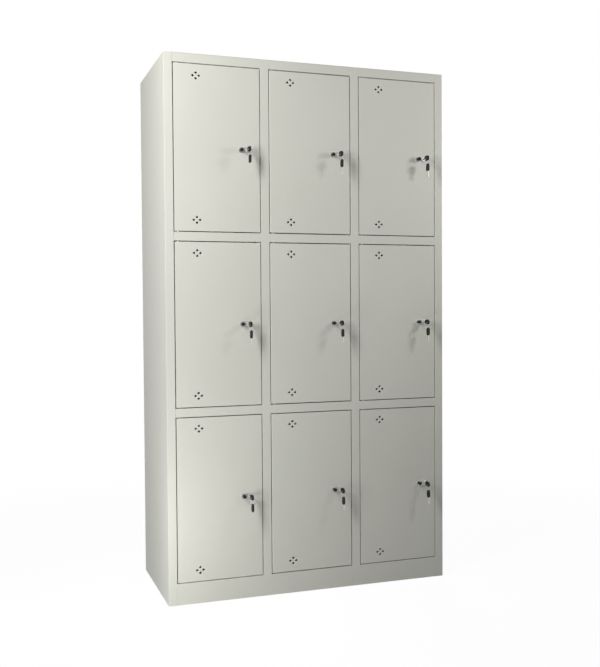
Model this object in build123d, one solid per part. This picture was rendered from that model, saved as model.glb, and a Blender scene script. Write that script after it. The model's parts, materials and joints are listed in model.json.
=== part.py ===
from build123d import *
import os

# Nine-door steel locker cabinet, in millimetres.
# X runs to the right along the front, Y runs to the back, Z runs up.
# The origin lies on the floor under the middle of the cabinet.

# Overall size
WIDTH = 1000.0
DEPTH = 450.0
HEIGHT = 1800.0
SHEET = 0.8

# Faces of the frame that show at the front
STILE_FACE = 28.5
MULLION_FACE = 29.0
RAIL_FACE = 29.0
TOP_RAIL_FACE = 30.5
PLINTH_FACE = 70.5

# Doors
COLUMN_NAMES = ["left", "centre", "right"]
ROW_NAMES = ["bottom", "middle", "top"]
DOOR_GAP = 3.0
DOOR_DEPTH = 18.0
DOOR_LIP = 12.0
DOOR_REST_GAP = 0.4
KEEPER_WIDTH = 12.0

# Door stiffener, a hat section behind the middle of each door
HAT_CROWN = 24.0
HAT_FOOT = 10.0
HAT_DEPTH = 10.0
HAT_END_SPACE = 40.0

# Pivot hinges
PIVOT_INSET = 12.0
PIVOT_DEPTH = 7.0
PIN_RADIUS = 2.5
PIN_REACH = 4.0
PIN_HEAD_RADIUS = 4.0
PIN_HEAD_HEIGHT = 1.5
RUNNING_GAP = 0.05

# Small round pieces that repeat on every door are drawn with flat sides
PIN_SIDES = 8
BORE_SIDES = 12
PLATE_SIDES = 20

# Vents: four diamond holes in a diamond, one vent near the top and one near the bottom of a door
VENT_FROM_SIDE = 74.5
VENT_FROM_END = 36.5
VENT_SPREAD_X = 10.6
VENT_SPREAD_Z = 9.2
VENT_HALF_WIDTH = 7.2
VENT_HALF_HEIGHT = 5.8

# Cam lock
LOCK_INSET = 44.5
PLATE_LENGTH = 40.0
PLATE_HEIGHT = 19.0
PLATE_THICKNESS = 2.0
PLATE_SHIFT = 9.5
BARREL_RADIUS = 8.5
BARREL_FLATS = 15.0
BARREL_FRONT = 5.0
PLUG_RADIUS = 5.5
PLUG_SINK = 0.2
STUD_SHIFT = 20.0
STUD_RADIUS = 6.0
STUD_LENGTH = 14.0
CLIP_WIDTH = 24.0
CLIP_RISE = 13.0
CLIP_DROP = 10.0
CLIP_THICKNESS = 1.0
CAM_GAP = 1.0
CAM_PLAY = 0.5
CAM_THICKNESS = 2.0
CAM_WIDTH = 16.0
CAM_TIP_SPACE = 3.5
SPIGOT = 6.0
SCREW_HEAD = 7.0
SCREW_HEAD_HEIGHT = 3.0

# Keys and split ring
BOW_LENGTH = 27.0
BOW_WIDTH = 17.0
BOW_THICKNESS = 6.0
BOW_CORNER = 5.0
BOW_NECK = 10.0
BOW_HOLE = 6.0
BOW_HOLE_FROM_END = 6.5
BLADE_LENGTH = 22.0
BLADE_WIDTH = 8.0
BLADE_THICKNESS = 2.2
KEYWAY_GAP = 0.1
BOW_STAND_OFF = 45.0
RING_RADIUS = 12.25
RING_WIRE = 1.6
RING_SIDES = 10
RING_PLAY = 0.5

# Folds of the carcass
STILE_FOLD = 12.0
WALL_STILE_FOLD = 22.0
BACK_FOLD = 20.0
SHELF_REAR_FOLD = 15.0
SHELF_SIDE_FOLD = 12.0
TOP_FOLD = 15.0
PARTITION_FOLD = 12.0
SLIT_GAP = 0.1

# Base stiffeners, hat sections that stand on the floor
BASE_HAT_WEB = 60.0
BASE_HAT_FOOT = 15.0

# Levels and faces worked out from the sizes above
COLUMNS = len(COLUMN_NAMES)
ROWS = len(ROW_NAMES)
FRONT = -DEPTH / 2
BACK = DEPTH / 2
LEFT = -WIDTH / 2
RIGHT = WIDTH / 2
OPENING_WIDTH = (WIDTH - 2 * STILE_FACE - (COLUMNS - 1) * MULLION_FACE) / COLUMNS
OPENING_HEIGHT = (HEIGHT - PLINTH_FACE - TOP_RAIL_FACE - (ROWS - 1) * RAIL_FACE) / ROWS
DOOR_WIDTH = OPENING_WIDTH - 2 * DOOR_GAP
DOOR_HEIGHT = OPENING_HEIGHT - 2 * DOOR_GAP
KEEPER_FRONT = FRONT + DOOR_DEPTH + DOOR_REST_GAP
FOLD_BACK = KEEPER_FRONT + SHEET
BACK_SKIN = BACK - 2 * SHEET
SKIN_TOP = HEIGHT - SHEET
PIVOT_Y = FRONT + PIVOT_DEPTH
CAM_FRONT = FOLD_BACK + CAM_GAP
BARREL_BACK = CAM_FRONT - CAM_PLAY
CAM_BACK = CAM_FRONT + CAM_THICKNESS
CAM_LENGTH = LOCK_INSET + DOOR_GAP - CAM_TIP_SPACE
HOLE_Y = FRONT - BOW_STAND_OFF + BOW_HOLE_FROM_END


def opening_left(column):
    """X of the left edge of a column's door opening."""
    return LEFT + STILE_FACE + column * (OPENING_WIDTH + MULLION_FACE)


def opening_bottom(row):
    """Z of the lower edge of a row's door opening."""
    return PLINTH_FACE + row * (OPENING_HEIGHT + RAIL_FACE)


def mullion_middle(number):
    """X of the middle of a mullion, counted from the left."""
    return opening_left(number + 1) - MULLION_FACE / 2


def wall_left(column):
    """X of the inner face of the sheet on the left of a compartment."""
    return LEFT + SHEET if column == 0 else mullion_middle(column - 1) + SHEET / 2


def wall_right(column):
    """X of the inner face of the sheet on the right of a compartment."""
    return RIGHT - SHEET if column == COLUMNS - 1 else mullion_middle(column) - SHEET / 2


def block(x, y, z):
    """Box between two limits on each axis."""
    size = [high - low for low, high in (x, y, z)]
    middle = [(low + high) / 2 for low, high in (x, y, z)]
    return Pos(*middle) * Box(*size)


def beside(path, distance):
    """Points of a path moved to its left, with mitred corners."""
    normals = []
    for (u0, v0), (u1, v1) in zip(path, path[1:]):
        run = ((u1 - u0) ** 2 + (v1 - v0) ** 2) ** 0.5
        normals.append(((v0 - v1) / run, (u1 - u0) / run))
    moved = []
    for index, (u, v) in enumerate(path):
        before = normals[max(index - 1, 0)]
        after = normals[min(index, len(normals) - 1)]
        share = distance / (1 + before[0] * after[0] + before[1] * after[1])
        moved.append((u + share * (before[0] + after[0]), v + share * (before[1] + after[1])))
    return moved


def outline(points):
    return make_face(Polyline(*points, close=True))


def folded(path):
    """Cross-section of a folded sheet that lies on the left of its path."""
    return outline(path + beside(path, SHEET)[::-1])


def along_x(face, x0, x1):
    """Solid from a face drawn in Y and Z."""
    return extrude(Plane.YZ.offset(x0) * face, amount=x1 - x0)


def along_y(face, y0, y1):
    """Solid from a face drawn in X and Z."""
    return extrude(Plane.XZ.offset(-y1) * face, amount=y1 - y0)


def along_z(face, z0, z1):
    """Solid from a face drawn in X and Y."""
    return extrude(Plane.XY.offset(z0) * face, amount=z1 - z0)


def flat_sided(radius, sides):
    """Bar section with its corners on a circle."""
    return RegularPolygon(radius, sides)


def flat_sided_hole(radius, sides):
    """Hole section with its flats on a circle, so that a bar of that radius turns in it."""
    return RegularPolygon(radius, sides, major_radius=False)


def hinge_place(column):
    """X and Y of the pivots of a column's doors."""
    return Pos(opening_left(column) + DOOR_GAP + PIVOT_INSET, PIVOT_Y)


# Carcass

def side_left():
    """Left wall: back fold, outer sheet, stile face and its inner fold."""
    stile = LEFT + STILE_FACE
    path = [
        (LEFT + BACK_FOLD, BACK),
        (LEFT, BACK),
        (LEFT, FRONT),
        (stile, FRONT),
        (stile, FOLD_BACK),
        (stile - WALL_STILE_FOLD, FOLD_BACK),
    ]
    return along_z(folded(path), 0, SKIN_TOP)


def side_right():
    """Right wall: as the left one, but its inner fold carries the keeper strip."""
    stile = RIGHT - STILE_FACE
    path = [
        (stile + WALL_STILE_FOLD, KEEPER_FRONT),
        (stile, KEEPER_FRONT),
        (stile, FRONT),
        (RIGHT, FRONT),
        (RIGHT, BACK),
        (RIGHT - BACK_FOLD, BACK),
    ]
    return along_z(folded(path), 0, SKIN_TOP)


def keeper_right():
    """Strip welded behind the right stile, which the right-hand doors close against and lock behind."""
    stile = RIGHT - STILE_FACE
    reach = (stile - KEEPER_WIDTH, stile + KEEPER_WIDTH)
    return block(reach, (KEEPER_FRONT, FOLD_BACK), (0, SKIN_TOP))


def mullion(number):
    """Post between two columns, with the keeper of the doors on its left."""
    left = mullion_middle(number) - MULLION_FACE / 2
    right = mullion_middle(number) + MULLION_FACE / 2
    path = [
        (left - KEEPER_WIDTH, KEEPER_FRONT),
        (left, KEEPER_FRONT),
        (left, FRONT),
        (right, FRONT),
        (right, FOLD_BACK),
        (right - STILE_FOLD, FOLD_BACK),
    ]
    return along_z(folded(path), 0, SKIN_TOP)


def partition(number):
    """Upright sheet behind a mullion, with a front fold that lies on the mullion's fold."""
    face = mullion_middle(number) + SHEET / 2
    path = [
        (face + PARTITION_FOLD, FOLD_BACK + SHEET),
        (face, FOLD_BACK + SHEET),
        (face, BACK_SKIN),
    ]
    return along_z(folded(path), 0, SKIN_TOP)


def back_panel():
    """Flat sheet in front of the side walls' back folds."""
    return block((LEFT + SHEET, RIGHT - SHEET), (BACK_SKIN, BACK_SKIN + SHEET), (0, SKIN_TOP))


def top_panel():
    """Top sheet with folds down inside both walls and outside the back panel."""
    skin = block((LEFT, RIGHT), (FRONT, BACK), (SKIN_TOP, HEIGHT))
    inner = (LEFT + SHEET, RIGHT - SHEET)
    drop = (SKIN_TOP - TOP_FOLD, SKIN_TOP)
    run = (FOLD_BACK + SHEET, BACK_SKIN)
    left = block((inner[0], inner[0] + SHEET), run, drop)
    right = block((inner[1] - SHEET, inner[1]), run, drop)
    rear = block((LEFT + BACK_FOLD, RIGHT - BACK_FOLD), (BACK - SHEET, BACK), drop)
    return skin + left + right + rear


def top_rail(column):
    """Channel between two posts, under the top sheet."""
    low = HEIGHT - TOP_RAIL_FACE
    path = [
        (KEEPER_FRONT - SLIT_GAP, SKIN_TOP),
        (FRONT, SKIN_TOP),
        (FRONT, low),
        (KEEPER_FRONT - SLIT_GAP, low),
    ]
    left = opening_left(column)
    return along_x(folded(path), left, left + OPENING_WIDTH)


def tray(column, low, high):
    """Shelf or floor of one compartment, folded in one piece with the rail under its door.

    The sheet passes behind the posts, so its front corners are notched, and a slit lets the keeper through.
    """
    x0 = wall_left(column)
    x1 = wall_right(column)
    left = opening_left(column)
    right = left + OPENING_WIDTH
    rail = [
        (BACK_SKIN, high - SHELF_REAR_FOLD),
        (BACK_SKIN, high),
        (FRONT, high),
        (FRONT, low),
        (KEEPER_FRONT - SLIT_GAP, low),
    ]
    body = along_x(folded(rail), x0, x1)
    behind_posts = FOLD_BACK + SHEET + SLIT_GAP
    cheeks = [
        (x1, high - SHELF_SIDE_FOLD),
        (x1, high),
        (x0, high),
        (x0, high - SHELF_SIDE_FOLD),
    ]
    body += along_y(folded(cheeks), behind_posts, BACK_SKIN - SHEET)
    deep = (FRONT - SHEET, behind_posts)
    tall = (low - SHEET, high + SHEET)
    body -= block((x0 - SHEET, left), deep, tall)
    body -= block((right, x1 + SHEET), deep, tall)
    slit = (KEEPER_FRONT - SLIT_GAP, FOLD_BACK + SLIT_GAP)
    body -= block((right - KEEPER_WIDTH - SLIT_GAP, right + SHEET), slit, tall)
    return body


def shelf(column, row):
    """Shelf under a compartment of the given row."""
    high = opening_bottom(row)
    return tray(column, high - RAIL_FACE, high)


def base_stiffener(column):
    """Hat section under a compartment floor; its web stands on the floor."""
    half = BASE_HAT_WEB / 2
    foot = PLINTH_FACE - 2 * SHEET
    path = [
        (-half - BASE_HAT_FOOT, foot),
        (-half, foot),
        (-half, 0),
        (half, 0),
        (half, foot),
        (half + BASE_HAT_FOOT, foot),
    ]
    return along_x(folded(path), wall_left(column) + 2 * SHEET, wall_right(column) - 2 * SHEET)


def hinge_pin(column, row, end):
    """Headed pin that stands in a rail and enters the door's flange; end is 1 for the upper one."""
    edge = opening_bottom(row) + (OPENING_HEIGHT if end > 0 else 0)
    head = edge + end * SHEET
    tip = edge - end * (DOOR_GAP + SHEET + PIN_REACH)
    low, high = sorted((head, tip))
    shank = along_z(hinge_place(column) * flat_sided(PIN_RADIUS, PIN_SIDES), low, high)
    low, high = sorted((head, head + end * PIN_HEAD_HEIGHT))
    return shank + along_z(hinge_place(column) * RegularPolygon(PIN_HEAD_RADIUS, 6), low, high)


def bore_for_pins(body, column, rows_above, rows_below):
    """Cut the holes for the hinge pins of the doors above and below a rail."""
    hole = hinge_place(column) * flat_sided_hole(PIN_RADIUS + RUNNING_GAP, PIN_SIDES)
    for level in [opening_bottom(row) for row in rows_above]:
        body -= along_z(hole, level - 2 * SHEET, level + SHEET)
    for level in [opening_bottom(row) + OPENING_HEIGHT for row in rows_below]:
        body -= along_z(hole, level - SHEET, level + 2 * SHEET)
    return body


# Doors

def vent_holes(x, z):
    """Four diamonds set at the corners of a larger diamond."""
    diamond = outline([
        (VENT_HALF_WIDTH, 0),
        (0, VENT_HALF_HEIGHT),
        (-VENT_HALF_WIDTH, 0),
        (0, -VENT_HALF_HEIGHT),
    ])
    middles = [(VENT_SPREAD_X, 0), (-VENT_SPREAD_X, 0), (0, VENT_SPREAD_Z), (0, -VENT_SPREAD_Z)]
    return [along_y(Pos(x + dx, z + dz) * diamond, FRONT - SHEET, FRONT + 2 * SHEET) for dx, dz in middles]


def barrel_section(x, z, gap):
    """Round lock barrel with two flats that stop it turning in the door."""
    flats = Rectangle(BARREL_FLATS + 2 * gap, 3 * BARREL_RADIUS)
    return Pos(x, z) * (flat_sided(BARREL_RADIUS + gap, BORE_SIDES) & flats)


def door(column, row):
    """Door pan with returned edges, vents, pivot holes, lock hole and an inner stiffener."""
    x0 = opening_left(column) + DOOR_GAP
    x1 = x0 + DOOR_WIDTH
    z0 = opening_bottom(row) + DOOR_GAP
    z1 = z0 + DOOR_HEIGHT
    rear = FRONT + DOOR_DEPTH
    pan = block((x0, x1), (FRONT, rear), (z0, z1))
    pan -= block((x0 + SHEET, x1 - SHEET), (FRONT + SHEET, rear - SHEET), (z0 + SHEET, z1 - SHEET))
    pan -= block(
        (x0 + DOOR_LIP, x1 - DOOR_LIP),
        (rear - 2 * SHEET, rear + SHEET),
        (z0 + DOOR_LIP, z1 - DOOR_LIP),
    )
    for z in (z0 + VENT_FROM_END, z1 - VENT_FROM_END):
        for hole in vent_holes(x0 + VENT_FROM_SIDE, z):
            pan -= hole
    pivot = hinge_place(column) * flat_sided_hole(PIN_RADIUS + RUNNING_GAP, BORE_SIDES)
    pan -= along_z(pivot, z0 - SHEET, z1 + SHEET)
    lock_hole = barrel_section(x1 - LOCK_INSET, (z0 + z1) / 2, RUNNING_GAP)
    pan -= along_y(lock_hole, FRONT - SHEET, FRONT + 2 * SHEET)
    middle = (x0 + x1) / 2
    inside = FRONT + SHEET
    crown = HAT_CROWN / 2
    path = [
        (middle - crown - HAT_FOOT, inside),
        (middle - crown, inside),
        (middle - crown, inside + HAT_DEPTH),
        (middle + crown, inside + HAT_DEPTH),
        (middle + crown, inside),
        (middle + crown + HAT_FOOT, inside),
    ]
    stiffener = along_z(folded(path), z0 + HAT_END_SPACE, z1 - HAT_END_SPACE)
    return [pan, stiffener]


def lock_place(column, row):
    """X and Z of a door's lock axis."""
    x = opening_left(column) + OPENING_WIDTH - DOOR_GAP - LOCK_INSET
    return x, opening_bottom(row) + OPENING_HEIGHT / 2


def lock(column, row):
    """Lock casting with its face plate, the pull stud on it, and the fork clip behind the door."""
    x, z = lock_place(column, row)
    straight = PLATE_LENGTH - PLATE_HEIGHT
    plate = Rectangle(straight, PLATE_HEIGHT)
    for end in (-straight / 2, straight / 2):
        plate += Pos(end, 0) * flat_sided(PLATE_HEIGHT / 2, PLATE_SIDES)
    plate_front = FRONT - PLATE_THICKNESS
    casting = along_y(Pos(x - PLATE_SHIFT, z) * plate, plate_front, FRONT)
    collar = flat_sided(BARREL_RADIUS, PLATE_SIDES)
    casting += along_y(Pos(x, z) * collar, FRONT - BARREL_FRONT, plate_front)
    casting += along_y(barrel_section(x, z, 0), FRONT, BARREL_BACK)
    bore = flat_sided_hole(PLUG_RADIUS + RUNNING_GAP, BORE_SIDES)
    casting -= along_y(Pos(x, z) * bore, FRONT - 2 * BARREL_FRONT, BARREL_BACK + SHEET)
    knob = flat_sided(STUD_RADIUS, BORE_SIDES)
    stud = along_y(Pos(x - STUD_SHIFT, z) * knob, plate_front - STUD_LENGTH, plate_front)
    slot = BARREL_FLATS / 2 + RUNNING_GAP
    crown = BARREL_RADIUS + SHEET / 2
    half = CLIP_WIDTH / 2
    fork = outline([
        (-half, CLIP_RISE),
        (half, CLIP_RISE),
        (half, -CLIP_DROP),
        (slot, -CLIP_DROP),
        (slot, crown),
        (-slot, crown),
        (-slot, -CLIP_DROP),
        (-half, -CLIP_DROP),
    ])
    clip = along_y(Pos(x, z) * fork, FRONT + SHEET, FRONT + SHEET + CLIP_THICKNESS)
    return [casting, stud, clip]


def cam(column, row):
    """Lock plug with its keyway, the cam that points down when unlocked, and the cam screw."""
    x, z = lock_place(column, row)
    plug = along_y(Pos(x, z) * Circle(PLUG_RADIUS), FRONT - BARREL_FRONT + PLUG_SINK, CAM_FRONT)
    keyway = Pos(x, z) * Rectangle(BLADE_THICKNESS + 2 * KEYWAY_GAP, BLADE_WIDTH + 2 * KEYWAY_GAP)
    tip = HOLE_Y + BOW_LENGTH - BOW_HOLE_FROM_END + BLADE_LENGTH
    plug -= along_y(keyway, FRONT - 2 * BARREL_FRONT, tip + KEYWAY_GAP)
    plug += along_y(Pos(x, z) * Rectangle(SPIGOT, SPIGOT), CAM_FRONT, CAM_BACK)
    half = CAM_WIDTH / 2
    arm = outline([
        (-half / 2, half),
        (half / 2, half),
        (half, half / 2),
        (half, half - CAM_LENGTH),
        (half / 2, -CAM_LENGTH),
        (-half / 2, -CAM_LENGTH),
        (-half, half - CAM_LENGTH),
        (-half, half / 2),
    ])
    lever = along_y(Pos(x, z) * arm, CAM_FRONT, CAM_BACK)
    square = Rectangle(SPIGOT + 2 * RUNNING_GAP, SPIGOT + 2 * RUNNING_GAP)
    lever -= along_y(Pos(x, z) * square, CAM_FRONT - SHEET, CAM_BACK + SHEET)
    hexagon = RegularPolygon(SCREW_HEAD / 2, 6, major_radius=False)
    screw = along_y(Pos(x, z) * hexagon, CAM_BACK, CAM_BACK + SCREW_HEAD_HEIGHT)
    return [plug, lever, screw]


def loose_key():
    """Key that hangs blade down in the Y and Z plane, with its ring hole at the origin."""
    top = BOW_HOLE_FROM_END
    shoulder = top - BOW_LENGTH
    half = BOW_WIDTH / 2
    neck = BOW_NECK / 2
    blade = BLADE_WIDTH / 2
    bow = outline([
        (-half + BOW_CORNER, top),
        (half - BOW_CORNER, top),
        (half, top - BOW_CORNER),
        (half, shoulder + BOW_CORNER),
        (neck, shoulder),
        (-neck, shoulder),
        (-half, shoulder + BOW_CORNER),
        (-half, top - BOW_CORNER),
    ])
    bow -= Rectangle(BOW_HOLE, BOW_HOLE)
    body = along_x(bow, -BOW_THICKNESS / 2, BOW_THICKNESS / 2)
    shank = outline([
        (-blade, shoulder),
        (blade, shoulder),
        (blade, shoulder - BLADE_LENGTH + blade / 2),
        (blade / 2, shoulder - BLADE_LENGTH),
        (-blade / 2, shoulder - BLADE_LENGTH),
        (-blade, shoulder - BLADE_LENGTH + blade / 2),
    ])
    return body + along_x(shank, -BLADE_THICKNESS / 2, BLADE_THICKNESS / 2)


def key(column, row):
    """Key in the lock: its blade points into the keyway."""
    x, z = lock_place(column, row)
    return Pos(x, HOLE_Y, z) * Rot(90, 0, 0) * loose_key()


def spare_key(column, row):
    """Split ring through the key's bow, with the spare key hanging on it."""
    x, z = lock_place(column, row)
    crown = z - BOW_HOLE / 2 + RING_PLAY + RING_WIRE
    middle = crown - RING_RADIUS
    hoop = flat_sided_hole(RING_RADIUS, RING_SIDES) - flat_sided_hole(RING_RADIUS - RING_WIRE, RING_SIDES)
    ring = along_y(Pos(x, middle) * hoop, HOLE_Y - RING_WIRE / 2, HOLE_Y + RING_WIRE / 2)
    hole = middle - RING_RADIUS + RING_WIRE + RING_PLAY - BOW_HOLE / 2
    return [ring, Pos(x, HOLE_Y, hole) * loose_key()]


def write(name, solids):
    """Write one sub-part, made of one or more solids."""
    solids = solids if isinstance(solids, list) else [solids]
    pieces = [solid for shape in solids for solid in shape.solids()]
    shape = pieces[0] if len(pieces) == 1 else Compound(pieces)
    shape.label = name
    export_step(shape, f"parts/{name}.step")


def all_columns(make):
    return [make(column) for column in range(COLUMNS)]


def bored_tray(column, row):
    """Shelf with the pin holes of the doors above and below it."""
    return bore_for_pins(shelf(column, row), column, [row], [row - 1])


os.makedirs("parts", exist_ok=True)

write("side_left", side_left())
write("side_right", side_right())
write("back_panel", back_panel())
write("top_panel", top_panel())
write("keeper_right", keeper_right())
write("mullion_left", mullion(0))
write("mullion_right", mullion(1))
write("partition_left", partition(0))
write("partition_right", partition(1))
write("top_rails", all_columns(lambda column: bore_for_pins(top_rail(column), column, [], [ROWS - 1])))
write("shelves_upper", all_columns(lambda column: bored_tray(column, 2)))
write("shelves_lower", all_columns(lambda column: bored_tray(column, 1)))
write("base_trays", all_columns(lambda column: bore_for_pins(tray(column, 0, PLINTH_FACE), column, [0], [])))
write("base_stiffeners", all_columns(base_stiffener))

pins = []
for column, column_name in enumerate(COLUMN_NAMES):
    for row, row_name in enumerate(ROW_NAMES):
        place = f"{row_name}_{column_name}"
        pins += [hinge_pin(column, row, 1), hinge_pin(column, row, -1)]
        write(f"door_{place}", door(column, row))
        write(f"lock_{place}", lock(column, row))
        write(f"cam_{place}", cam(column, row))
        write(f"key_{place}", key(column, row))
        write(f"spare_key_{place}", spare_key(column, row))
write("hinge_pins", pins)
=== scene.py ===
import json
from math import atan2, cos, hypot, pi, radians, sin

import bmesh
import bpy
from mathutils import Matrix, Vector


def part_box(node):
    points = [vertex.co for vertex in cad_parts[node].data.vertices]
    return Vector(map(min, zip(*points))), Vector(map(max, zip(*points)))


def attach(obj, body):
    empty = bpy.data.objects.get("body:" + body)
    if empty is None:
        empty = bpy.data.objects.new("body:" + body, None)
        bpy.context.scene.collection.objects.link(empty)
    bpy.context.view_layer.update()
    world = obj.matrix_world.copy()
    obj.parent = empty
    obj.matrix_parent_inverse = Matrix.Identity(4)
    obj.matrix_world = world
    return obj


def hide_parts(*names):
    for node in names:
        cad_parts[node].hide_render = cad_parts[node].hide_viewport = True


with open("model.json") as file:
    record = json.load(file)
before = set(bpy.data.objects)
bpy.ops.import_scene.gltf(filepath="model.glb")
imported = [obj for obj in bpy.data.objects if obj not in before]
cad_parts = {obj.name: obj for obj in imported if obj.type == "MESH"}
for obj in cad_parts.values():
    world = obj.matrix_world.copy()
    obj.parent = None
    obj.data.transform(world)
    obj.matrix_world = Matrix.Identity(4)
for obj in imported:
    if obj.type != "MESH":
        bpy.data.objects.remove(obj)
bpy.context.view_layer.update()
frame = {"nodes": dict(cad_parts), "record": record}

MM = 0.001

# Places of the nine doors
ROWS = ("top", "middle", "bottom")
COLUMNS = ("left", "centre", "right")
PLACES = [f"{row}_{column}" for row in ROWS for column in COLUMNS]

# The viewpoint of the photograph, in metres, degrees and pixels
EYE = Vector((-1.059, -3.1625, 0.9772))
EYE_YAW = -19.109
EYE_PITCH = 1.689
EYE_ROLL = -0.368
FOCAL_PIXELS = 914.3
PICTURE_HEIGHT = 667
SENSOR = 36.0

# Soft lamps: name, place, aim, width and height in metres, and power in watts
LAMPS = (
    ("left_lamp", (-1.43, -1.21, 1.8), (-0.3, -0.2, 1.46), 0.4, 1.66, 31.2),
    ("low_left_lamp", (-0.79, -0.68, 0.24), (-0.35, -0.225, 0.25), 0.3, 0.35, 2.3),
    ("right_lamp", (1.25, -1.0, 1.6), (0.3, -0.2, 1.45), 0.22, 0.22, 5.2),
    ("back_lamp", (1.1, 2.3, 1.9), (0, 0.22, 0.95), 1.0, 1.4, 24),
)
LAMP_TINT = (1, 0.995, 0.97)

# Floor and background: the shadow fades out between two distances from the cabinet
FLOOR_HALF_SIZE = 12
FLOOR_GREY = (0.36, 0.36, 0.36, 1)
WHITE = (1, 1, 1, 1)
SHADOW_FADES_FROM = 1.2
SHADOW_FADES_TO = 3.0
NEAR_GLOW = 1.16
NEAR_SHARE = 0.82
FILL_TINT = (0.97, 0.985, 1, 1)
FILL_STRENGTH = 0.1

# Joining the loose triangles of a CAD node into whole faces, and the seam of a turned shape
MERGE_DISTANCE = 0.004 * MM
FLAT_ANGLE = radians(0.5)
SEAM_DISTANCE = 0.001 * MM

# Shading: edges sharper than these stay crisp
CRISP_ANGLE = radians(40)
CRISP_BOW_ANGLE = radians(50)
CRISP_BLADE_ANGLE = radians(30)
FLAT_FACE_WEIGHT = 100

# Sheet metal: the bends that are rounded, and how
SHEET = 0.8 * MM
BEND_RADIUS = 1.5 * MM
BEND_STEPS = 3
LEAST_BEND = radians(60)
BROAD_FACE = 2.0 * MM
SHORT_EDGE = 4.0 * MM

# Vents: four diamond holes in a diamond, each with a pressed rim that ends in a lip
VENT_FROM_SIDE = 74.5 * MM
VENT_FROM_END = 36.5 * MM
VENT_SPREAD_X = 10.6 * MM
VENT_SPREAD_Z = 9.2 * MM
VENT_HALF_WIDTH = 7.2 * MM
VENT_HALF_HEIGHT = 5.8 * MM
VENT_MARGIN = SHEET / 4
VENT_DEPTH = 1.5 * SHEET
VENT_RIM = 1.3 * MM
VENT_RIM_STEPS = 5
VENT_LIP = 0.7 * SHEET

# Face plate, in the plane of the door, measured from the lock's axis
PLATE_LENGTH = 40 * MM
PLATE_HEIGHT = 19 * MM
PLATE_THICKNESS = 2 * MM
PLATE_SHIFT = 9.5 * MM
PLATE_SIDES = 64
PLATE_ROUNDING = 1.1 * MM
PLATE_ROUNDING_STEPS = 4

# Barrel, measured from the door's face; its rims are (from the wall, from the front) in mm
BARREL_RADIUS = 8.5 * MM
BARREL_FLATS = 15 * MM
BARREL_FRONT = 5 * MM
BARREL_BACK = 19.6 * MM
BARREL_SIDES = 56
BARREL_COLLAR = 1.9 * MM
BARREL_COLLAR_SLOPE = 0.5 * MM
BARREL_STEP = 0.4 * MM
BARREL_CHAMFER = 0.8 * MM
BARREL_ROUND_LENGTH = BARREL_FRONT * 3 / 4
BARREL_RIM = ((0, 0.9), (0.25, 0.35), (0.8, 0))
BORE_RIM = ((0.9, 0), (0.15, 0.25), (0, 0.8))
PLUG_RADIUS = 5.5 * MM
PLUG_SPACE = 0.12 * MM

# Pull stud: its section is (share of the radius, mm in front of the plate)
STUD_SHIFT = 20 * MM
STUD_RADIUS = 6 * MM
STUD_SIDES = 40
STUD_SECTION = (
    (0, 0),
    (0.8, 0),
    (0.74, 3),
    (0.76, 5),
    (0.92, 7.5),
    (1, 9),
    (1, 11.4),
    (0.93, 12.9),
    (0.74, 13.65),
    (0.4, 14),
    (0, 14),
)

# Fork clip behind the door, measured from the lock's axis
CLIP_WIDTH = 24 * MM
CLIP_RISE = 13 * MM
CLIP_DROP = 10 * MM
CLIP_THICKNESS = 1 * MM
CLIP_CORNER = 3 * MM
CLIP_SPLAY = 1.5 * MM
CLIP_SIDE_GAP = 0.05 * MM
CLIP_CROWN_GAP = 0.4 * MM
CLIP_RIM_ANGLE = radians(80)
CLIP_ROUNDING = 0.2 * MM

# Cam
CAM_RIM_ANGLE = radians(25)
CAM_ROUNDING = 0.22 * MM

# Edges of clips and cams are rounded in this many steps
THIN_ROUNDING_STEPS = 2

# Bow of a key, measured from its ring hole
HOLE_STAND_OFF = 38.5 * MM
BOW_TOP = 6.5 * MM
BOW_LENGTH = 27 * MM
BOW_WIDTH = 17 * MM
BOW_THICKNESS = 6 * MM
BOW_CORNER = 5 * MM
BOW_NECK = 10 * MM
BOW_HOLE_RADIUS = 2.9 * MM
BOW_ROUNDING = 2.6 * MM
BOW_ROUNDING_STEPS = 4
BOW_MERGE_DISTANCE = 0.005 * MM

# Section of the bow in mm below its flat face: in from its outline, and out from its ring hole
BOW_RIM = ((0, 0.9), (0.25, 0.3), (0.9, 0), (1.7, 0), (2.1, 0.6))
BOW_HOLE_RIM = ((1.05, 0.6), (0.8, 0.1), (0.35, 0.1), (0.08, 0.4))

# How far the bow's neck, corners and rounding shrink with each mm that its outline goes in
NECK_SHRINKS = 0.4
CORNER_SHRINKS = 0.6
ROUNDING_SHRINKS = 0.3

# Blade of a key, its cuts in mm, and the grooves milled in the faces that look sideways
BLADE_LENGTH = 22 * MM
BLADE_WIDTH = 8 * MM
BLADE_THICKNESS = 2.2 * MM
BLADE_ROOT = 3 * MM
BLADE_SHOULDER = 6 * MM
BLADE_FIRST_CUT = 6.5 * MM
BLADE_CUTS = (1.1, 2.0, 0.8, 1.6, 2.2)
CUT_SLOPE = 0.3
CUT_END = 0.6
TIP_CUT_SIDE = 0.35
TIP_PLAIN_SIDE = 0.4
TIP_SLOPE = 2.5 * MM
GROOVE_SIDES = (-2.3 * MM, -0.9 * MM)
GROOVE_SLOPE = 0.25 * MM
GROOVE_DEPTH = 0.5 * MM
FACING = 0.9

# Split ring and where it hangs, measured from the ring hole of the key in the lock
RING_RADIUS = 12.25 * MM
RING_WIRE_WIDTH = 1.6 * MM
RING_WIRE_THICKNESS = 0.62 * MM
RING_WIRE_NIP = 0.15 * MM
RING_TURNS = 1.96
RING_STEPS = 110
RING_START = radians(100)
RING_SPRING = 1.03
RING_MIDDLE_DROP = 13.15 * MM
SPARE_HOLE_DROP = 26.3 * MM


# Materials

# Sockets of a Mix node that blends colours
MIX_SHARE = 0
MIX_ONE = 6
MIX_OTHER = 7
MIX_RESULT = 2


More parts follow.
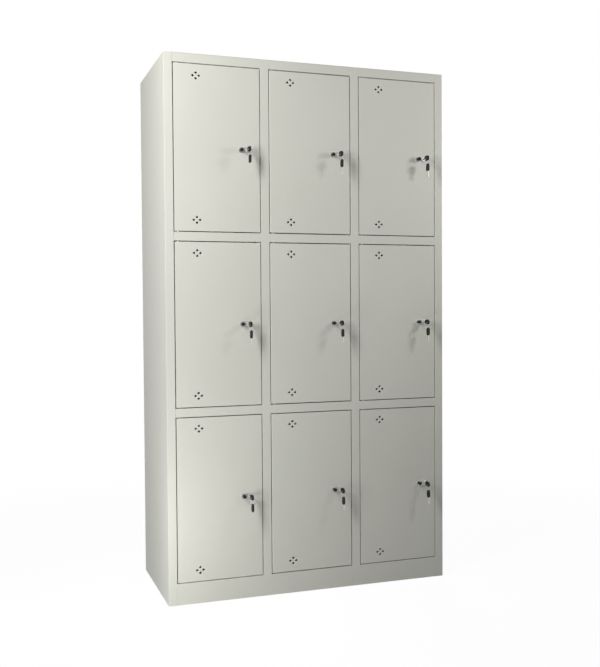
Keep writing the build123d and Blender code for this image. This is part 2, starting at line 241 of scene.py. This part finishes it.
class Number:
    """A shader value that can be used in arithmetic."""

    def __init__(self, finish, socket):
        self.finish = finish
        self.socket = socket

    def math(self, operation, first, second):
        return self.finish.add("ShaderNodeMath", {"operation": operation}, {0: first, 1: second})

    def __add__(self, other):
        return self.math("ADD", self, other)

    __radd__ = __add__

    def __mul__(self, other):
        return self.math("MULTIPLY", self, other)

    __rmul__ = __mul__

    def __sub__(self, other):
        return self.math("SUBTRACT", self, other)

    def __rsub__(self, other):
        return self.math("SUBTRACT", other, self)

    def above(self, low, high):
        """Smooth step from 0 at low to 1 at high."""
        sockets = {"Value": self, "From Min": low, "From Max": high}
        return self.finish.add("ShaderNodeMapRange", {"interpolation_type": "SMOOTHSTEP"}, sockets)

    def either(self, other):
        return self.math("MAXIMUM", self, other)


class Finish:
    """Node tree of a material or the world."""

    def __init__(self, owner):
        owner.use_nodes = True
        self.tree = owner.node_tree
        self.tree.nodes.clear()

    def add(self, kind, settings=None, sockets=None, out=0):
        """A node of any kind: its settings are set first, then its sockets are filled or linked."""
        node = self.tree.nodes.new(kind)
        for name, value in (settings or {}).items():
            setattr(node, name, value)
        for name, value in (sockets or {}).items():
            if isinstance(value, Number):
                self.tree.links.new(value.socket, node.inputs[name])
            else:
                node.inputs[name].default_value = value
        return Number(self, node.outputs[out]) if node.outputs else None

    def place(self):
        return self.add("ShaderNodeTexCoord", out="Object")

    def noise(self, scale, detail, roughness, stretch=(1, 1, 1)):
        where = self.add("ShaderNodeMapping", sockets={"Vector": self.place(), "Scale": stretch})
        sockets = {"Vector": where, "Scale": scale, "Detail": detail, "Roughness": roughness}
        return self.add("ShaderNodeTexNoise", {"noise_dimensions": "3D"}, sockets, "Fac")

    def blend(self, share, one, other):
        """Colour between two colours."""
        sockets = {MIX_SHARE: share, MIX_ONE: one, MIX_OTHER: other}
        return self.add("ShaderNodeMix", {"data_type": "RGBA"}, sockets, MIX_RESULT)

    def bump(self, height, distance, strength=1.0, under=None):
        sockets = {"Height": height, "Distance": distance, "Strength": strength}
        if under:
            sockets["Normal"] = under
        return self.add("ShaderNodeBump", sockets=sockets)


def material(name):
    made = bpy.data.materials.new(name)
    return made, Finish(made)


def finished(finish, **sockets):
    """Principled surface with the given sockets, linked to the output."""
    named = {key.replace("_", " "): value for key, value in sockets.items()}
    shader = finish.add("ShaderNodeBsdfPrincipled", sockets=named)
    finish.add("ShaderNodeOutputMaterial", sockets={"Surface": shader})


def powder_coat():
    """Pale grey powder coat: fine orange peel, faint mottling and the waviness of thin sheet."""
    made, finish = material("powder_coat")
    duller = (0.715, 0.72, 0.658, 1)
    brighter = (0.735, 0.737, 0.68, 1)
    darker = (0.64, 0.645, 0.588, 1)
    cloud = finish.noise(scale=3.1, detail=4, roughness=0.55)
    speck = finish.noise(scale=260, detail=3, roughness=0.6)
    peel = finish.noise(scale=780, detail=2, roughness=0.5)
    sheet = finish.noise(scale=5.5, detail=1, roughness=0.4, stretch=(1, 1, 0.6))
    mottled = finish.blend(cloud.above(0.35, 0.65), duller, brighter)
    tint = finish.blend(speck.above(0.62, 0.8) * 0.35, mottled, darker)
    waves = finish.bump(sheet, 2.2 * MM)
    skin = finish.bump(peel, 0.06 * MM, 0.8, waves)
    finished(
        finish,
        Base_Color=tint,
        Roughness=0.44 + cloud * 0.08 + peel * 0.06,
        IOR=1.5,
        Specular_IOR_Level=0.36,
        Normal=skin,
    )
    return made


def satin_chrome():
    """Satin chrome of the lock casting, with a fine drawn grain and a few rubbed patches."""
    made, finish = material("satin_chrome")
    duller = (0.38, 0.38, 0.365, 1)
    brighter = (0.47, 0.47, 0.45, 1)
    grain = finish.noise(scale=420, detail=3, roughness=0.6, stretch=(0.25, 1, 3))
    haze = finish.noise(scale=60, detail=2, roughness=0.5)
    finished(
        finish,
        Base_Color=finish.blend(haze, duller, brighter),
        Metallic=1.0,
        Roughness=0.36 + grain * 0.12 + haze * 0.06,
        Normal=finish.bump(grain, 0.02 * MM, 0.5),
    )
    return made


def black_plastic():
    """Moulded black plastic with a fine spark-eroded grain and rubbed high spots."""
    made, finish = material("moulded_black")
    black = (0.006, 0.006, 0.006, 1)
    greyer = (0.015, 0.015, 0.0145, 1)
    grain = finish.noise(scale=1500, detail=2, roughness=0.6)
    rubbed = finish.noise(scale=120, detail=3, roughness=0.6)
    finished(
        finish,
        Base_Color=finish.blend(rubbed.above(0.55, 0.8), black, greyer),
        Roughness=0.42 + rubbed * 0.12,
        Specular_IOR_Level=0.3,
        Normal=finish.bump(grain, 0.04 * MM, 0.6),
    )
    return made


def key_steel():
    """Nickel-plated key blank with fine milling lines across the blade."""
    made, finish = material("nickel_key")
    duller = (0.56, 0.55, 0.515, 1)
    brighter = (0.66, 0.65, 0.615, 1)
    lines = finish.noise(scale=900, detail=2, roughness=0.5, stretch=(0.2, 0.2, 1))
    haze = finish.noise(scale=90, detail=2, roughness=0.5)
    finished(
        finish,
        Base_Color=finish.blend(haze, duller, brighter),
        Metallic=1.0,
        Roughness=0.3 + lines * 0.16,
        Normal=finish.bump(lines, 0.03 * MM, 0.6),
    )
    return made


def ring_wire():
    """Dull spring steel of the split rings, drawn along the wire and worn grey."""
    made, finish = material("ring_wire")
    duller = (0.3, 0.3, 0.29, 1)
    brighter = (0.42, 0.415, 0.4, 1)
    drawn = finish.noise(scale=700, detail=3, roughness=0.6, stretch=(0.3, 3, 0.3))
    worn = finish.noise(scale=140, detail=3, roughness=0.6)
    finished(
        finish,
        Base_Color=finish.blend(worn.above(0.3, 0.7), duller, brighter),
        Metallic=1.0,
        Roughness=0.42 + drawn * 0.16,
        Normal=finish.bump(drawn, 0.02 * MM, 0.5),
    )
    return made


def zinc():
    """Zinc-plated steel with a faint spangle."""
    made, finish = material("zinc_plate")
    bluer = (0.55, 0.555, 0.56, 1)
    warmer = (0.66, 0.655, 0.63, 1)
    spangle = finish.add(
        "ShaderNodeTexVoronoi",
        {"feature": "F1"},
        {"Vector": finish.place(), "Scale": 260.0},
        "Color",
    )
    grey = finish.add("ShaderNodeSeparateColor", {"mode": "RGB"}, {"Color": spangle})
    streak = finish.noise(scale=420, detail=3, roughness=0.6, stretch=(1, 1, 0.25))
    finished(
        finish,
        Base_Color=finish.blend(grey, bluer, warmer),
        Metallic=1.0,
        Roughness=0.28 + grey * 0.12 + streak * 0.1,
        Normal=finish.bump(streak, 0.03 * MM, 0.5),
    )
    return made


def seen_directly(finish):
    """1 for rays from the camera, in mirrors and through glass, else 0."""
    rays = [
        finish.add("ShaderNodeLightPath", out=name)
        for name in ("Is Camera Ray", "Is Glossy Ray", "Is Transmission Ray")
    ]
    return rays[0].either(rays[1]).either(rays[2])


# Pieces

def add_piece(name, mesh, body, made):
    piece = bpy.data.objects.new(name, mesh)
    bpy.context.scene.collection.objects.link(piece)
    mesh.materials.clear()
    mesh.materials.append(made)
    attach(piece, body)
    return piece


def to_mesh(bm, name, crisp=CRISP_ANGLE):
    mesh = bpy.data.meshes.new(name)
    bm.to_mesh(mesh)
    bm.free()
    mesh.shade_smooth()
    mesh.set_sharp_from_angle(angle=crisp)
    return mesh


def even_shading(piece):
    """Keeps broad flat faces flat beside their rounded bends."""
    modifier = piece.modifiers.new("even_shading", "WEIGHTED_NORMAL")
    modifier.weight = FLAT_FACE_WEIGHT
    modifier.keep_sharp = True


def round_over(bm, geom, radius, segments, affect="EDGES"):
    """Round edges, or the corners of a flat face."""
    bmesh.ops.bevel(
        bm,
        geom=geom,
        offset=radius,
        offset_type="OFFSET",
        segments=segments,
        profile=0.5,
        affect=affect,
        clamp_overlap=True,
        material=-1,
    )


def new_verts(grown):
    return [item for item in grown if isinstance(item, bmesh.types.BMVert)]


def thicken(bm, offset):
    """Extrude the flat faces of a mesh by an offset."""
    grown = bmesh.ops.extrude_face_region(bm, geom=bm.faces[:])
    far = new_verts(grown["geom"])
    bmesh.ops.translate(bm, verts=far, vec=offset)
    bmesh.ops.recalc_face_normals(bm, faces=bm.faces)


def draw_on(bm, loop):
    """Extrude an edge loop in place: the vertices and the edges of the new loop."""
    grown = bmesh.ops.extrude_edge_only(bm, edges=loop)["geom"]
    verts = new_verts(grown)
    fresh = set(verts)
    edges = [item for item in grown if isinstance(item, bmesh.types.BMEdge)]
    return verts, [edge for edge in edges if fresh.issuperset(edge.verts)]


def move(bm, *offset):
    bmesh.ops.translate(bm, verts=bm.verts, vec=Vector(offset))
    return bm


def joined(*shapes):
    """Several shapes in one mesh."""
    whole = bmesh.new()
    for shape in shapes:
        mesh = bpy.data.meshes.new("part")
        shape.to_mesh(mesh)
        shape.free()
        whole.from_mesh(mesh)
        bpy.data.meshes.remove(mesh)
    return whole


def turned(section, sides):
    """Closed shape spun round the Y axis from (radius, y) points."""
    bm = bmesh.new()
    points = [bm.verts.new((radius, y, 0)) for radius, y in section]
    edges = [bm.edges.new(pair) for pair in zip(points, points[1:])]
    bmesh.ops.spin(
        bm,
        geom=points + edges,
        cent=(0, 0, 0),
        axis=(0, 1, 0),
        angle=2 * pi,
        steps=sides,
        use_merge=True,
    )
    bmesh.ops.remove_doubles(bm, verts=bm.verts, dist=SEAM_DISTANCE)
    bmesh.ops.recalc_face_normals(bm, faces=bm.faces)
    return bm


# Folded sheets and doors

def merged_copy(node):
    """Copy of a CAD node's mesh with its loose triangles joined into whole faces."""
    bm = bmesh.new()
    bm.from_mesh(frame["nodes"][node].data)
    bmesh.ops.remove_doubles(bm, verts=bm.verts, dist=MERGE_DISTANCE)
    bmesh.ops.dissolve_limit(
        bm,
        angle_limit=FLAT_ANGLE,
        use_dissolve_boundaries=False,
        verts=bm.verts,
        edges=bm.edges,
    )
    return bm


def convex_edges(bm, least):
    """Convex edges between two faces that meet at this angle or more."""
    whole = [edge for edge in bm.edges if len(edge.link_faces) == 2 and edge.is_convex]
    return [edge for edge in whole if edge.calc_face_angle() > least]


def face_width(face):
    return face.calc_area() / max(edge.calc_length() for edge in face.edges)


def outer_bends(bm):
    """Long convex edges between two faces that are broader than the sheet is thick."""
    return [
        edge
        for edge in convex_edges(bm, LEAST_BEND)
        if edge.calc_length() >= SHORT_EDGE
        and min(face_width(face) for face in edge.link_faces) > BROAD_FACE
    ]


def vent_section():
    """Steps (inwards, backwards) of a vent's rim, from the hole's edge round to its lip."""
    turns = [pi / 2 * step / VENT_RIM_STEPS for step in range(1, VENT_RIM_STEPS + 1)]
    curve = [(VENT_RIM * sin(turn), VENT_RIM * (1 - cos(turn))) for turn in turns]
    depth = VENT_RIM + SHEET / 2
    return curve + [(VENT_RIM, depth), (VENT_RIM - VENT_LIP, depth)]


def press_vent(bm, middle):
    """Press a rounded rim into the diamond hole round a point of the door's front face."""
    corners = {
        vert
        for vert in bm.verts
        if abs(vert.co.x - middle.x) < VENT_HALF_WIDTH + VENT_MARGIN
        and abs(vert.co.z - middle.z) < VENT_HALF_HEIGHT + VENT_MARGIN
        and vert.co.y < middle.y + VENT_DEPTH
    }
    walls = [face for face in bm.faces if corners.issuperset(face.verts)]
    bmesh.ops.delete(bm, geom=walls, context="FACES_ONLY")
    edges = [edge for edge in bm.edges if corners.issuperset(edge.verts) and edge.is_boundary]
    inside = middle.y + SHEET / 2
    loop = [edge for edge in edges if all(vert.co.y < inside for vert in edge.verts)]
    back = [edge for edge in edges if all(vert.co.y > inside for vert in edge.verts)]
    bmesh.ops.delete(bm, geom=[edge for edge in bm.edges if edge.is_wire], context="EDGES")

    reach = VENT_HALF_WIDTH * VENT_HALF_HEIGHT / hypot(VENT_HALF_WIDTH, VENT_HALF_HEIGHT)
    was_inwards = 0
    was_backwards = 0
    for inwards, backwards in vent_section():
        verts, loop = draw_on(bm, loop)
        factor = (reach - inwards) / (reach - was_inwards)
        for vert in verts:
            vert.co.x = middle.x + (vert.co.x - middle.x) * factor
            vert.co.z = middle.z + (vert.co.z - middle.z) * factor
            vert.co.y += backwards - was_backwards
        was_inwards = inwards
        was_backwards = backwards
    bmesh.ops.bridge_loops(bm, edges=loop + back)


def press_vents(bm, low, high):
    """Press the upper and the lower vent of a door that lies between two corners."""
    across = ((VENT_SPREAD_X, 0), (-VENT_SPREAD_X, 0), (0, VENT_SPREAD_Z), (0, -VENT_SPREAD_Z))
    for end in (low.z + VENT_FROM_END, high.z - VENT_FROM_END):
        for sideways, up in across:
            press_vent(bm, Vector((low.x + VENT_FROM_SIDE + sideways, low.y, end + up)))
    bmesh.ops.recalc_face_normals(bm, faces=bm.faces)


def folded_sheet(node, body, made):
    """A sheet-metal node with its outer bends rounded."""
    bm = merged_copy(node)
    if node.startswith("door_"):
        press_vents(bm, *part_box(node))
    round_over(bm, outer_bends(bm), BEND_RADIUS, BEND_STEPS)
    piece = add_piece(f"{node}_sheet", to_mesh(bm, node), body, made)
    even_shading(piece)
    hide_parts(node)


# Locks

def face_plate():
    """Plate with round ends in the X and Z plane, its front edge rounded and its back at y = 0."""
    bm = bmesh.new()
    upright = Matrix.Rotation(pi / 2, 4, "X")
    bmesh.ops.create_circle(
        bm,
        cap_ends=True,
        radius=PLATE_HEIGHT / 2,
        segments=PLATE_SIDES,
        matrix=upright @ Matrix.Rotation(pi / PLATE_SIDES, 4, "Z"),
    )
    for vert in bm.verts:
        vert.co.x += (PLATE_LENGTH - PLATE_HEIGHT) / 2 * (1 if vert.co.x > 0 else -1)
    thicken(bm, (0, -PLATE_THICKNESS, 0))
    middle = -PLATE_THICKNESS / 2
    rims = [edge for edge in bm.edges if all(vert.co.y < middle for vert in edge.verts)]
    round_over(bm, rims, PLATE_ROUNDING, PLATE_ROUNDING_STEPS)
    return bm


def lock_barrel():
    """Barrel round the Y axis, bored for the plug, with two flats behind the face plate."""
    bore = PLUG_RADIUS + PLUG_SPACE
    shank = BARREL_RADIUS - BARREL_STEP
    section = [
        (bore, BARREL_BACK),
        (shank - BARREL_CHAMFER, BARREL_BACK),
        (shank, BARREL_BACK - BARREL_CHAMFER),
        (shank, BARREL_COLLAR + BARREL_COLLAR_SLOPE),
        (BARREL_RADIUS, BARREL_COLLAR),
        (BARREL_RADIUS, 0),
    ]
    section += [(BARREL_RADIUS - x * MM, y * MM - BARREL_FRONT) for x, y in BARREL_RIM]
    section += [(bore + x * MM, y * MM - BARREL_FRONT) for x, y in BORE_RIM]
    section.append((bore, BARREL_BACK))
    bm = turned(section, BARREL_SIDES)
    flat = BARREL_FLATS / 2
    for vert in bm.verts:
        if vert.co.y > BARREL_ROUND_LENGTH - BARREL_FRONT:
            vert.co.x = max(-flat, min(flat, vert.co.x))
    return bm


def pull_stud():
    """Turned knob round the Y axis, its foot at y = 0."""
    return turned([(share * STUD_RADIUS, -y * MM) for share, y in STUD_SECTION], STUD_SIDES)


def fork_clip():
    """Sprung plate with a slot for the barrel's flats, its front face at y = 0."""
    bm = bmesh.new()
    half = CLIP_WIDTH / 2
    slot = BARREL_FLATS / 2 + CLIP_SIDE_GAP
    crown = BARREL_RADIUS + CLIP_CROWN_GAP
    side = [
        (half - CLIP_CORNER, CLIP_RISE),
        (half, CLIP_RISE - CLIP_CORNER),
        (half, -CLIP_DROP + CLIP_CORNER),
        (half - CLIP_CORNER, -CLIP_DROP),
        (slot + CLIP_SPLAY, -CLIP_DROP),
        (slot, -CLIP_DROP + CLIP_SPLAY),
        (slot, crown - CLIP_CORNER),
        (slot - CLIP_CORNER, crown),
    ]
    outline = side + [(-x, z) for x, z in reversed(side)]
    bm.faces.new([bm.verts.new((x, 0, z)) for x, z in outline])
    thicken(bm, (0, CLIP_THICKNESS, 0))
    rims = [edge for edge in bm.edges if edge.calc_face_angle() > CLIP_RIM_ANGLE]
    round_over(bm, rims, CLIP_ROUNDING, THIN_ROUNDING_STEPS)
    return bm


def lock_cam(node):
    """The CAD cam and its screw with their edges rounded."""
    bm = merged_copy(node)
    round_over(bm, convex_edges(bm, CAM_RIM_ANGLE), CAM_ROUNDING, THIN_ROUNDING_STEPS)
    return bm


# Keys and rings

def bow_outline(bm, inset, x):
    """Edge loop of the bow's rounded outline, moved in by the inset."""
    half = BOW_WIDTH / 2 - inset
    top = BOW_TOP - inset
    shoulder = BOW_TOP - BOW_LENGTH + inset
    neck = BOW_NECK / 2 - inset * NECK_SHRINKS
    corner = BOW_CORNER - inset * CORNER_SHRINKS
    side = [
        (half - corner, top),
        (half, top - corner),
        (half, shoulder + corner),
        (neck, shoulder),
    ]
    outline = side + [(-y, z) for y, z in reversed(side)]
    earlier = set(bm.edges)
    verts = [bm.verts.new((x, y, z)) for y, z in outline]
    bm.faces.new(verts)
    rounding = BOW_ROUNDING - inset * ROUNDING_SHRINKS
    round_over(bm, verts, rounding, BOW_ROUNDING_STEPS, "VERTICES")
    bmesh.ops.delete(bm, geom=bm.faces[:], context="FACES_ONLY")
    return [edge for edge in bm.edges if edge not in earlier]


def round_in(bm, loop, radius, x):
    """Continue an edge loop inwards to evenly spaced places on a circle round the X axis."""
    verts, edges = draw_on(bm, loop)
    verts.sort(key=lambda vert: atan2(vert.co.z, vert.co.y))
    step = 2 * pi / len(verts)
    leads = [atan2(vert.co.z, vert.co.y) - step * number for number, vert in enumerate(verts)]
    start = sum(leads) / len(leads)
    for number, vert in enumerate(verts):
        turn = start + step * number
        vert.co = Vector((x, radius * cos(turn), radius * sin(turn)))
    return edges


def key_bow():
    """Moulded bow in the Y and Z plane with rounded rims, sunk panels and a round ring hole."""
    bm = bmesh.new()
    half = BOW_THICKNESS / 2
    outer = [(0, 0)] + [(inset * MM, half - drop * MM) for inset, drop in BOW_RIM]
    inner = [(grow * MM, half - drop * MM) for grow, drop in BOW_HOLE_RIM] + [(0, 0)]
    loops = [bow_outline(bm, inset, x) for inset, x in outer]
    for loop, following in zip(loops, loops[1:]):
        bmesh.ops.bridge_loops(bm, edges=loop + following)
    loop = loops[-1]
    for grow, x in inner:
        loop = round_in(bm, loop, BOW_HOLE_RADIUS + grow, x)
    front = bm.verts[:] + bm.edges[:] + bm.faces[:]
    bmesh.ops.mirror(bm, geom=front, axis="X", merge_dist=BOW_MERGE_DISTANCE)
    bmesh.ops.recalc_face_normals(bm, faces=bm.faces)
    return bm


def key_blade():
    """Steel blade below the bow with a cut edge and a milled groove on both sides."""
    bm = bmesh.new()
    top = BOW_TOP - BOW_LENGTH + BLADE_ROOT
    tip = BOW_TOP - BOW_LENGTH - BLADE_LENGTH
    half = BLADE_WIDTH / 2
    step = (BLADE_LENGTH - BLADE_SHOULDER) / len(BLADE_CUTS)
    outline = [(half, top), (half, top - BLADE_SHOULDER)]
    for number, cut in enumerate(BLADE_CUTS):
        start = top - BLADE_FIRST_CUT - number * step
        outline.append((half - cut * MM, start - step * CUT_SLOPE))
        outline.append((half - cut * MM, start - step * CUT_END))
    outline += [
        (half * TIP_CUT_SIDE, tip),
        (-half * TIP_PLAIN_SIDE, tip),
        (-half, tip + TIP_SLOPE),
        (-half, top),
    ]
    bm.faces.new([bm.verts.new((-BLADE_THICKNESS / 2, y, z)) for y, z in outline])
    thicken(bm, (BLADE_THICKNESS, 0, 0))
    for y in GROOVE_SIDES:
        whole = bm.verts[:] + bm.edges[:] + bm.faces[:]
        bmesh.ops.bisect_plane(bm, geom=whole, plane_co=(0, y, 0), plane_no=(0, 1, 0))
    bmesh.ops.recalc_face_normals(bm, faces=bm.faces)
    low, high = GROOVE_SIDES
    for side in (-1, 1):
        facing = [face for face in bm.faces if face.normal.x * side > FACING]
        bmesh.ops.inset_region(
            bm,
            faces=[face for face in facing if low < face.calc_center_median().y < high],
            thickness=GROOVE_SLOPE,
            depth=-GROOVE_DEPTH,
            use_even_offset=True,
        )
    return bm


def key_meshes(name, place):
    """Bow and blade of one key, placed by a matrix."""
    bow = key_bow()
    blade = key_blade()
    for bm in (bow, blade):
        bmesh.ops.transform(bm, matrix=place, verts=bm.verts)
    return (
        to_mesh(bow, f"{name}_bow", CRISP_BOW_ANGLE),
        to_mesh(blade, f"{name}_blade", CRISP_BLADE_ANGLE),
    )


def split_ring():
    """Two turns of flat wire in the X and Z plane, round the origin."""
    bm = bmesh.new()
    outer = RING_RADIUS
    inner = RING_RADIUS - RING_WIRE_WIDTH
    half = RING_WIRE_THICKNESS / 2
    nip = RING_WIRE_NIP
    section = [
        (inner + nip, -half),
        (outer - nip, -half),
        (outer, -half + nip),
        (outer, half - nip),
        (outer - nip, half),
        (inner + nip, half),
        (inner, half - nip),
        (inner, -half + nip),
    ]
    start = Matrix.Rotation(RING_START, 3, "Y")
    verts = [bm.verts.new(start @ Vector((x, y - RING_WIRE_THICKNESS, 0))) for x, y in section]
    end = bm.faces.new(verts)
    rise = RING_WIRE_THICKNESS * RING_SPRING * RING_TURNS
    bmesh.ops.spin(
        bm,
        geom=[end, *verts, *end.edges],
        cent=(0, 0, 0),
        axis=(0, 1, 0),
        dvec=(0, rise / RING_STEPS, 0),
        angle=2 * pi * RING_TURNS,
        steps=RING_STEPS,
        use_merge=False,
    )
    bmesh.ops.recalc_face_normals(bm, faces=bm.faces)
    return bm


def lock_set(place, paints):
    """Face plate, barrel, stud, clip, cam, key, ring and spare key of one door."""
    low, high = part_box(f"key_{place}")
    x = (low.x + high.x) / 2
    z = (low.z + high.z) / 2
    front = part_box(f"door_{place}")[0].y
    door_body = f"door_body_{place}"
    lock_body = f"lock_body_{place}"
    spare_body = f"spare_body_{place}"

    plate = move(face_plate(), x - PLATE_SHIFT, front, z)
    barrel = move(lock_barrel(), x, front, z)
    case = to_mesh(joined(plate, barrel), "lock_case")
    casting = add_piece(f"lock_case_{place}", case, door_body, paints["chrome"])
    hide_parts(f"lock_{place}")
    stud = to_mesh(move(pull_stud(), x - STUD_SHIFT, front - PLATE_THICKNESS, z), "stud")
    add_piece(f"stud_{place}", stud, door_body, paints["black"])
    clip = to_mesh(move(fork_clip(), x, front + SHEET, z), "lock_clip")
    add_piece(f"lock_clip_{place}", clip, door_body, paints["zinc"])

    cam = to_mesh(lock_cam(f"cam_{place}"), "lock_cam")
    cam_piece = add_piece(f"lock_cam_{place}", cam, lock_body, paints["zinc"])
    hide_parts(f"cam_{place}")

    hole = Vector((x, front - HOLE_STAND_OFF, z))
    inserted = Matrix.Translation(hole) @ Matrix.Rotation(pi / 2, 4, "X")
    bow, blade = key_meshes("key", inserted)
    key = add_piece(f"key_bow_{place}", bow, lock_body, paints["black"])
    add_piece(f"key_blade_{place}", blade, lock_body, paints["key"])
    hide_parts(f"key_{place}")

    ring = to_mesh(move(split_ring(), x, hole.y, z - RING_MIDDLE_DROP), "split_ring")
    add_piece(f"split_ring_{place}", ring, spare_body, paints["ring"])
    hanging = Matrix.Translation(hole - Vector((0, 0, SPARE_HOLE_DROP)))
    bow, blade = key_meshes("spare", hanging)
    spare = add_piece(f"spare_bow_{place}", bow, spare_body, paints["black"])
    add_piece(f"spare_blade_{place}", blade, spare_body, paints["key"])
    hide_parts(f"spare_key_{place}")


# Stage

def white_floor():
    """White floor that keeps the cabinet's shadow near it and melts into the background."""
    made, finish = material("white_floor")
    sockets = {0: finish.place()}
    away = finish.add("ShaderNodeVectorMath", {"operation": "LENGTH"}, sockets, "Value")
    far = away.above(SHADOW_FADES_FROM, SHADOW_FADES_TO)
    plain = finish.add("ShaderNodeBsdfDiffuse", sockets={"Color": FLOOR_GREY})
    glow = NEAR_GLOW - far * (NEAR_GLOW - 1)
    white = finish.add("ShaderNodeEmission", sockets={"Color": WHITE, "Strength": glow})
    share = seen_directly(finish) * (NEAR_SHARE + far * (1 - NEAR_SHARE))
    mixed = finish.add("ShaderNodeMixShader", sockets={0: share, 1: plain, 2: white})
    finish.add("ShaderNodeOutputMaterial", sockets={"Surface": mixed})
    bm = bmesh.new()
    bmesh.ops.create_grid(bm, x_segments=1, y_segments=1, size=FLOOR_HALF_SIZE)
    mesh = bpy.data.meshes.new("floor")
    bm.to_mesh(mesh)
    bm.free()
    mesh.materials.append(made)
    floor = bpy.data.objects.new("floor", mesh)
    bpy.context.scene.collection.objects.link(floor)


def white_world():
    """White behind the cabinet, and a faint even light on it."""
    world = bpy.data.worlds.new("studio")
    bpy.context.scene.world = world
    finish = Finish(world)
    sockets = {"Color": FILL_TINT, "Strength": FILL_STRENGTH}
    fill = finish.add("ShaderNodeBackground", sockets=sockets)
    white = finish.add("ShaderNodeBackground", sockets={"Color": WHITE, "Strength": 1.0})
    share = seen_directly(finish)
    mixed = finish.add("ShaderNodeMixShader", sockets={0: share, 1: fill, 2: white})
    finish.add("ShaderNodeOutputWorld", sockets={"Surface": mixed})


def soft_lamp(name, place, aim, width, height, power):
    lamp = bpy.data.lights.new(name, "AREA")
    lamp.shape = "RECTANGLE"
    lamp.size = width
    lamp.size_y = height
    lamp.energy = power
    lamp.color = LAMP_TINT
    holder = bpy.data.objects.new(name, lamp)
    holder.location = place
    holder.rotation_euler = (Vector(aim) - Vector(place)).to_track_quat("-Z", "Y").to_euler()
    bpy.context.scene.collection.objects.link(holder)


def set_camera():
    """Camera at the photograph's viewpoint, from its yaw, pitch and roll."""
    level = Matrix(((1, 0, 0), (0, 0, -1), (0, 1, 0)))
    seen = (
        Matrix.Rotation(radians(EYE_ROLL), 3, "Z")
        @ Matrix.Rotation(radians(EYE_PITCH), 3, "X")
        @ Matrix.Rotation(radians(EYE_YAW), 3, "Y")
        @ level
    )
    turned_round = seen.transposed() @ Matrix.Diagonal((1, -1, -1))
    lens = bpy.data.cameras.new("camera")
    lens.sensor_fit = "AUTO"
    lens.sensor_width = SENSOR
    lens.lens = FOCAL_PIXELS / PICTURE_HEIGHT * SENSOR
    camera = bpy.data.objects.new("camera", lens)
    camera.matrix_world = Matrix.Translation(EYE) @ turned_round.to_4x4()
    bpy.context.scene.collection.objects.link(camera)
    bpy.context.scene.camera = camera


paints = {
    "coat": powder_coat(),
    "chrome": satin_chrome(),
    "black": black_plastic(),
    "key": key_steel(),
    "ring": ring_wire(),
    "zinc": zinc(),
}

for node in frame["record"]["behaviour"]["bodies"]["carcass"]:
    if node == "hinge_pins":
        pins = frame["nodes"][node].data
        pins.materials.clear()
        pins.materials.append(paints["zinc"])
    else:
        folded_sheet(node, "carcass", paints["coat"])

for place in PLACES:
    folded_sheet(f"door_{place}", f"door_body_{place}", paints["coat"])
    lock_set(place, paints)

set_camera()
white_world()
white_floor()
for lamp in LAMPS:
    soft_lamp(*lamp)

view = bpy.context.scene.view_settings
view.view_transform = "Standard"
